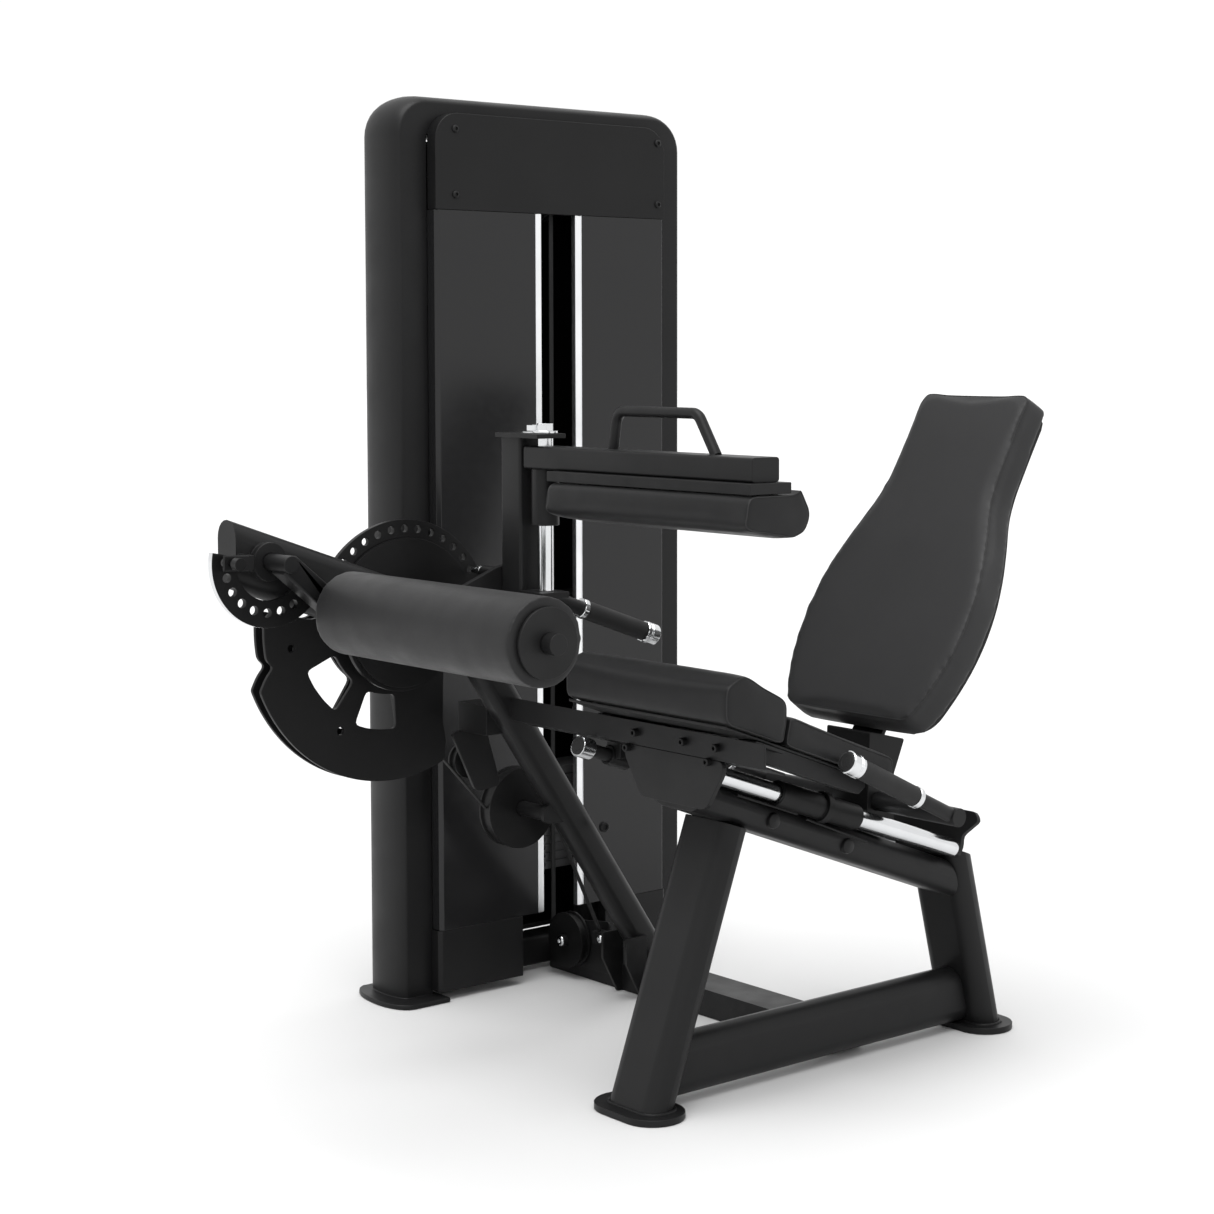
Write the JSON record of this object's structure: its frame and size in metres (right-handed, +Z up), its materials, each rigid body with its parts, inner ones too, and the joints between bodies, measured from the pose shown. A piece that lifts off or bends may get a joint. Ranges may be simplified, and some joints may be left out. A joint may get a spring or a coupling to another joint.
{
  "type": "leg extension machine",
  "caption": "Seated leg extension gym machine with a weight tower, cam-driven lever with roller pad, adjustable back rest and a thigh hold-down.",
  "frame": {"origin": "middle of the floor rectangle under the whole machine", "axes": "+Z up; +X from the roller towards the back rest, so the user faces -X; +Y from the seat towards the weight tower"},
  "size_m": [1.2632, 1.064, 1.506],
  "materials": {
    "frame_paint": "fine black powder coat, satin",
    "dark_paint": "black powder coat",
    "panel": "glossy smoke-grey sheet with bright slot edges",
    "chrome": "polished",
    "cushion": "smooth charcoal upholstery",
    "cushion_dark": "smooth near-black upholstery",
    "black_plastic": "fine grained",
    "rubber": "ribbed black",
    "weights": "black painted"
  },
  "bodies": {
    "frame": {"tower_frame": "frame_paint", "header_cover": "frame_paint", "skirt_left": "frame_paint", "skirt_right": "frame_paint", "front_leg": "frame_paint", "rear_leg": "frame_paint", "lower_tube": "frame_paint", "main_rail": "frame_paint", "seat_frame": "frame_paint", "rear_end_plate": "frame_paint", "post": "frame_paint", "pivot_housing": "frame_paint", "base_beam": "frame_paint", "brace": "frame_paint", "rear_cover": "dark_paint", "panel_left": "panel", "panel_right": "panel", "guide_rod_left": "chrome", "guide_rod_right": "chrome", "slide_rod_left": "chrome", "slide_rod_right": "chrome", "assist_grip_bar": "chrome", "hold_down_shaft": "chrome", "seat_bolster": "cushion_dark", "seat_pad": "cushion_dark", "seat_board": "black_plastic", "assist_grip_sleeve": "rubber", "belt_cam": "rubber", "belt_floor": "rubber", "belt_riser": "rubber", "belt_drop": "rubber", "weight_stack_rest": "weights"},
    "stack": {"weight_stack_lifted": "weights", "stack_head": "dark_paint"},
    "selector": {"selector_pin": "black_plastic"},
    "lever": {"cam": "dark_paint", "range_disc": "dark_paint", "pivot_shaft": "chrome", "lever_beam": "frame_paint"},
    "swing": {"swing_arm": "frame_paint", "swing_adjuster": "chrome"},
    "swing_lock": {"swing_pin": "chrome"},
    "roller": {"roller_pad": "cushion", "roller_core": "black_plastic"},
    "hold_down": {"hold_down_beam": "frame_paint", "hold_down_board": "black_plastic", "hold_down_pad": "cushion_dark"},
    "back_rest": {"back_carriage": "dark_paint", "back_pad": "cushion", "back_board": "black_plastic", "grip_frame": "chrome", "grip_left_sleeve": "rubber", "grip_right_sleeve": "rubber"},
    "cam_wheel": {"cam_pulley": "dark_paint"},
    "guide_wheel": {"guide_pulley": "black_plastic"},
    "floor_wheel": {"lower_pulley": "dark_paint"},
    "top_wheel": {"top_pulley": "black_plastic"},
    "range_lock": {"range_pin": "chrome"},
    "release": {"release_knob": "chrome"}
  },
  "joints": [
    {"name": "lever_swing", "type": "hinge", "parent": "frame", "child": "lever", "pos_m": [-0.19773, 0.0425, 0.669], "axis": [0, -1, 0], "range_deg": [-9.6, 100]},
    {"name": "stack_travel", "type": "slide", "parent": "frame", "child": "stack", "axis": [0, 0, 1], "range_m": [-0.2, 0.02], "deforming": ["belt_drop"]},
    {"name": "selector_pull", "type": "slide", "parent": "stack", "child": "selector", "axis": [0, -1, 0], "range_m": [0, 0.05]},
    {"name": "roller_arm_swing", "type": "hinge", "parent": "lever", "child": "swing", "pos_m": [-0.53973, -0.002, 0.797], "axis": [0, 1, 0], "range_deg": [0, 70.4]},
    {"name": "swing_lock_slide", "type": "slide", "parent": "lever", "child": "swing_lock", "axis": [0, 1, 0], "range_m": [0, 0.0095]},
    {"name": "roller_spin", "type": "hinge", "parent": "swing", "child": "roller", "pos_m": [-0.45473, -0.282, 0.726], "axis": [0, 1, 0], "continuous": true},
    {"name": "hold_down_height", "type": "slide", "parent": "frame", "child": "hold_down", "axis": [0, 0, 1], "range_m": [-0.085, 0]},
    {"name": "back_rest_slide", "type": "slide", "parent": "frame", "child": "back_rest", "axis": [0.9433, 0, -0.332], "range_m": [-0.055, 0.1]},
    {"name": "cam_wheel_spin", "type": "hinge", "parent": "frame", "child": "cam_wheel", "pos_m": [0.05527, 0.239, 0.345], "axis": [0, -1, 0], "continuous": true},
    {"name": "guide_wheel_spin", "type": "hinge", "parent": "frame", "child": "guide_wheel", "pos_m": [-0.04673, 0.239, 0.434], "axis": [0, 1, 0], "continuous": true},
    {"name": "floor_wheel_spin", "type": "hinge", "parent": "frame", "child": "floor_wheel", "pos_m": [0.26527, 0.3702, 0.066], "axis": [1, 0, 0], "continuous": true},
    {"name": "top_wheel_spin", "type": "hinge", "parent": "frame", "child": "top_wheel", "pos_m": [0.25727, 0.4375, 1.33], "axis": [0.9372, 0.3487, 0], "continuous": true},
    {"name": "range_lock_slide", "type": "slide", "parent": "frame", "child": "range_lock", "axis": [0, 1, 0], "range_m": [0, 0.016]},
    {"name": "release_pull", "type": "slide", "parent": "frame", "child": "release", "axis": [-0.9433, 0, 0.332], "range_m": [0, 0.012], "stiffness_N_per_m": 400, "springref_m": -0.01}
  ],
  "couplings": [
    {"joint": "stack_travel", "follows": "lever_swing", "m_per_rad": -0.1145},
    {"joint": "cam_wheel_spin", "follows": "lever_swing", "ratio": 1.8031},
    {"joint": "guide_wheel_spin", "follows": "lever_swing", "ratio": 4.4902},
    {"joint": "floor_wheel_spin", "follows": "lever_swing", "ratio": 2.5165},
    {"joint": "top_wheel_spin", "follows": "lever_swing", "ratio": 5.5854}
  ]
}
